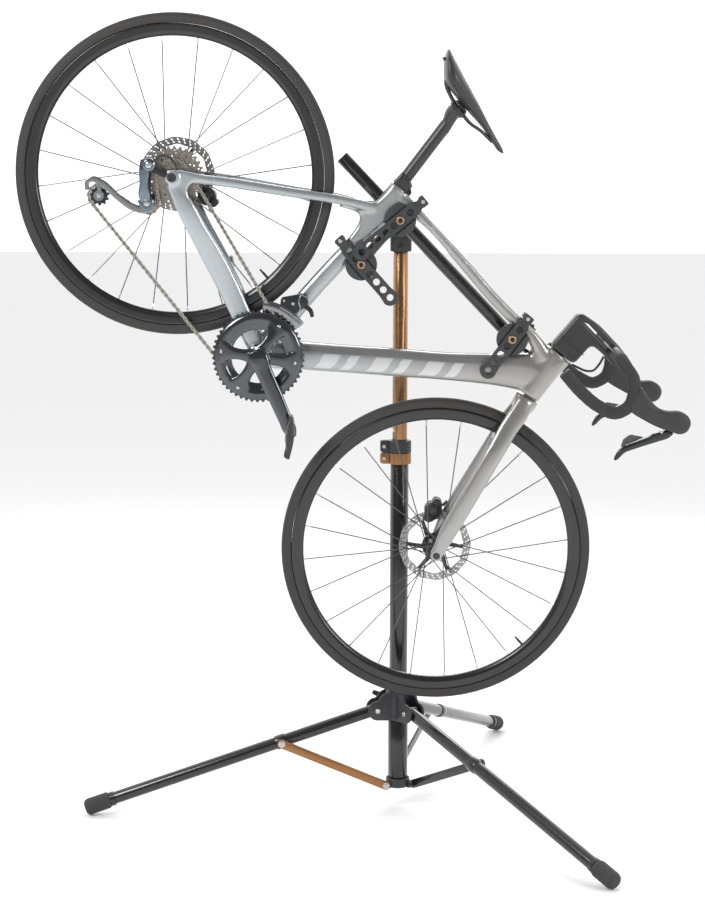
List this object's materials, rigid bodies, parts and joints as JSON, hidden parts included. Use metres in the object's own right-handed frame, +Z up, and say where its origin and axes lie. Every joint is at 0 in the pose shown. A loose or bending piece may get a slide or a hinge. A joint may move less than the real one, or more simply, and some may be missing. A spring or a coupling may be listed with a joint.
{
  "type": "bicycle on repair stand",
  "caption": "Road bicycle with drop bars and disc brakes, held nose down by a bolt-on frame clamp on a folding tripod repair stand with a telescopic mast.",
  "frame": {"origin": "middle of the whole object's footprint box, on the floor that the three feet stand on", "axes": "+Z up along the mast; +X towards the handlebar side; +Y away from the bicycle's drive side"},
  "size_m": [1.413, 1.2348, 1.7619],
  "materials": {
    "stand_black": "gloss black anodised tube",
    "stand_copper": "copper anodised",
    "stand_plastic": "moulded, fine texture",
    "foot_rubber": "matte",
    "bolt_bronze": "machined",
    "screw_steel": "polished",
    "frame_paint": "gloss metallic silver",
    "carbon_black": "satin carbon composite",
    "bar_tape": "grippy wrapped tape",
    "hood_rubber": "matte, ribbed",
    "lever_metal": "satin",
    "saddle_cover": "matte synthetic",
    "tyre": "matte",
    "rim": "satin black",
    "spoke": "drawn wire",
    "hub": "satin black",
    "sprocket": "nickel plated",
    "rotor_steel": "ground brake track",
    "crank": "gloss anodised dark grey",
    "chain": "plated",
    "mech": "gloss blue grey",
    "hose": "smooth"
  },
  "bodies": {
    "mast": {"mast_lower_tube": "stand_black", "base_collar": "stand_plastic", "lower_mast_clamp": "stand_copper"},
    "leg_hub": {"leg_hub": "stand_plastic"},
    "hub_lever": {"hub_lever": "stand_plastic"},
    "lower_clamp_lever": {"lower_clamp_lever": "stand_copper"},
    "middle_stage": {"mast_middle_tube": "stand_black", "upper_mast_clamp": "stand_plastic"},
    "upper_clamp_lever": {"upper_clamp_lever": "stand_plastic"},
    "top_stage": {"mast_top_tube": "stand_copper", "mast_head": "stand_plastic"},
    "tilt_lever": {"tilt_lever": "stand_plastic"},
    "bike": {"bike_frame": "frame_paint", "clamp_beam": "stand_black", "clamp_arm": "stand_black", "clamp_disc_1": "stand_plastic", "clamp_disc_2": "stand_plastic", "clamp_disc_3": "stand_plastic", "chain": "chain", "rear_derailleur": "mech", "derailleur_cage": "mech", "front_derailleur": "mech", "rear_caliper": "lever_metal"},
    "seat": {"seatpost": "carbon_black", "saddle_rails": "carbon_black", "saddle": "saddle_cover"},
    "steering": {"fork": "frame_paint", "cockpit": "bar_tape", "brake_hood_right": "hood_rubber", "brake_hood_left": "hood_rubber", "brake_hose": "hose", "front_caliper": "lever_metal"},
    "front_wheel": {"front_tyre": "tyre", "front_rim": "rim", "front_hub_spokes": "spoke", "front_rotor": "rotor_steel"},
    "rear_wheel": {"rear_tyre": "tyre", "rear_rim": "rim", "rear_hub_spokes": "spoke", "rear_rotor": "rotor_steel"},
    "cassette": {"cassette": "sprocket"},
    "crank": {"crankset_right": "crank", "crank_left": "crank"},
    "leg_left": {"leg_left": "stand_black", "foot_left": "foot_rubber"},
    "strut_left": {"strut_left": "stand_copper"},
    "leg_right": {"leg_right": "stand_black", "foot_right": "foot_rubber"},
    "strut_right": {"strut_right": "stand_black"},
    "leg_rear": {"leg_rear": "stand_black", "foot_rear": "foot_rubber"},
    "strut_rear": {"strut_rear": "stand_black"},
    "clamp_bar_1": {"clamp_bar_1": "stand_plastic"},
    "clamp_bar_2": {"clamp_bar_2": "stand_plastic"},
    "clamp_bar_3": {"clamp_bar_3": "stand_plastic"},
    "pedal_right": {"pedal_right": "lever_metal"},
    "brake_lever_right": {"brake_lever_right": "lever_metal"},
    "pedal_left": {"pedal_left": "lever_metal"},
    "brake_lever_left": {"brake_lever_left": "lever_metal"}
  },
  "joints": [
    {"name": "hub_slide", "type": "slide", "parent": "mast", "child": "leg_hub", "axis": [0, 0, 1], "range_m": [0, 0.065]},
    {"name": "leg_left_fold", "type": "hinge", "parent": "leg_hub", "child": "leg_left", "pos_m": [0.06369, -0.0493, 0.22528], "axis": [0.1245, -0.9922, 0], "range_deg": [0, 10]},
    {"name": "strut_left_fold", "type": "hinge", "parent": "mast", "child": "strut_left", "pos_m": [0.08528, -0.06876, 0.05128], "axis": [0.1245, -0.9922, 0], "range_deg": [-7.5, 0]},
    {"name": "leg_right_fold", "type": "hinge", "parent": "leg_hub", "child": "leg_right", "pos_m": [0.1419, -0.08225, 0.22528], "axis": [0.7971, 0.6039, 0], "range_deg": [0, 10]},
    {"name": "strut_right_fold", "type": "hinge", "parent": "mast", "child": "strut_right", "pos_m": [0.14796, -0.05382, 0.05128], "axis": [0.7971, 0.6039, 0], "range_deg": [-7.5, 0]},
    {"name": "leg_rear_fold", "type": "hinge", "parent": "leg_hub", "child": "leg_rear", "pos_m": [0.13134, 0.00196, 0.22528], "axis": [-0.9215, 0.3883, 0], "range_deg": [0, 10]},
    {"name": "strut_rear_fold", "type": "hinge", "parent": "mast", "child": "strut_rear", "pos_m": [0.10369, -0.00701, 0.05128], "axis": [-0.9215, 0.3883, 0], "range_deg": [-7.5, 0]},
    {"name": "hub_lever_swing", "type": "hinge", "parent": "leg_hub", "child": "hub_lever", "pos_m": [0.09031, 0.0038, 0.23728], "axis": [0, 1, 0], "range_deg": [0, 80]},
    {"name": "lower_clamp_lever_swing", "type": "hinge", "parent": "mast", "child": "lower_clamp_lever", "pos_m": [0.07431, -0.0272, 0.80128], "axis": [0, 0, 1], "range_deg": [0, 150]},
    {"name": "middle_stage_slide", "type": "slide", "parent": "mast", "child": "middle_stage", "axis": [0, 0, 1], "range_m": [0, 0.3]},
    {"name": "upper_clamp_lever_swing", "type": "hinge", "parent": "middle_stage", "child": "upper_clamp_lever", "pos_m": [0.07431, -0.0272, 0.82828], "axis": [0, 0, 1], "range_deg": [0, 150]},
    {"name": "top_stage_slide", "type": "slide", "parent": "middle_stage", "child": "top_stage", "axis": [0, 0, 1], "range_m": [0, 0.2]},
    {"name": "clamp_tilt", "type": "hinge", "parent": "top_stage", "child": "bike", "pos_m": [0.10667, -0.17693, 1.33817], "axis": [0, 0.9976, 0.0689], "range_deg": [-10, 30]},
    {"name": "tilt_lever_swing", "type": "hinge", "parent": "top_stage", "child": "tilt_lever", "pos_m": [0.10667, -0.01232, 1.34954], "axis": [0, 0.9976, 0.0689], "range_deg": [0, 90]},
    {"name": "clamp_bar_1_slide", "type": "slide", "parent": "bike", "child": "clamp_bar_1", "axis": [0.7719, -0.0438, 0.6343], "range_m": [0, 0.02]},
    {"name": "clamp_bar_2_slide", "type": "slide", "parent": "bike", "child": "clamp_bar_2", "axis": [-0.6641, -0.0515, 0.7459], "range_m": [0, 0.02]},
    {"name": "clamp_bar_3_slide", "type": "slide", "parent": "bike", "child": "clamp_bar_3", "axis": [0.5986, -0.0552, 0.7991], "range_m": [0, 0.02]},
    {"name": "steering", "type": "hinge", "parent": "bike", "child": "steering", "pos_m": [0.42291, -0.19336, 0.99552], "axis": [0.614, -0.0544, 0.7874], "range_deg": [-16, 16]},
    {"name": "front_wheel_spin", "type": "hinge", "parent": "steering", "child": "front_wheel", "pos_m": [0.18972, -0.16715, 0.61584], "axis": [0, 0.9976, 0.0689], "continuous": true},
    {"name": "rear_wheel_spin", "type": "hinge", "parent": "bike", "child": "rear_wheel", "pos_m": [-0.36989, -0.22307, 1.42571], "axis": [0, 0.9976, 0.0689], "continuous": true},
    {"name": "crank_spin", "type": "hinge", "parent": "bike", "child": "crank", "pos_m": [-0.19369, -0.19696, 1.04767], "axis": [0, 0.9976, 0.0689], "continuous": true},
    {"name": "cassette_spin", "type": "hinge", "parent": "bike", "child": "cassette", "pos_m": [-0.36989, -0.26796, 1.42262], "axis": [0, 0.9976, 0.0689], "continuous": true},
    {"name": "pedal_right_spin", "type": "hinge", "parent": "crank", "child": "pedal_right", "pos_m": [-0.12438, -0.28579, 0.88246], "axis": [0, 0.9976, 0.0689], "continuous": true},
    {"name": "brake_lever_right_pull", "type": "hinge", "parent": "steering", "child": "brake_lever_right", "pos_m": [0.64258, -0.38684, 0.8941], "axis": [0, 0.9976, 0.0689], "range_deg": [0, 12], "stiffness_Nm_per_rad": 1.5, "springref_deg": -17.19},
    {"name": "pedal_left_spin", "type": "hinge", "parent": "crank", "child": "pedal_left", "pos_m": [-0.263, -0.10813, 1.21288], "axis": [0, 0.9976, 0.0689], "continuous": true},
    {"name": "brake_lever_left_pull", "type": "hinge", "parent": "steering", "child": "brake_lever_left", "pos_m": [0.64258, 0.01221, 0.92166], "axis": [0, 0.9976, 0.0689], "range_deg": [0, 12], "stiffness_Nm_per_rad": 1.5, "springref_deg": -17.19},
    {"name": "seatpost_slide", "type": "slide", "parent": "bike", "child": "seat", "axis": [0.6038, -0.0549, 0.7952], "range_m": [-0.03, 0.04]}
  ],
  "couplings": [
    {"joint": "leg_left_fold", "follows": "hub_slide", "rad_per_m": 2.617},
    {"joint": "strut_left_fold", "follows": "hub_slide", "rad_per_m": -1.93},
    {"joint": "leg_right_fold", "follows": "hub_slide", "rad_per_m": 2.617},
    {"joint": "strut_right_fold", "follows": "hub_slide", "rad_per_m": -1.93},
    {"joint": "leg_rear_fold", "follows": "hub_slide", "rad_per_m": 2.617},
    {"joint": "strut_rear_fold", "follows": "hub_slide", "rad_per_m": -1.93},
    {"joint": "cassette_spin", "follows": "crank_spin", "ratio": 2.104}
  ]
}
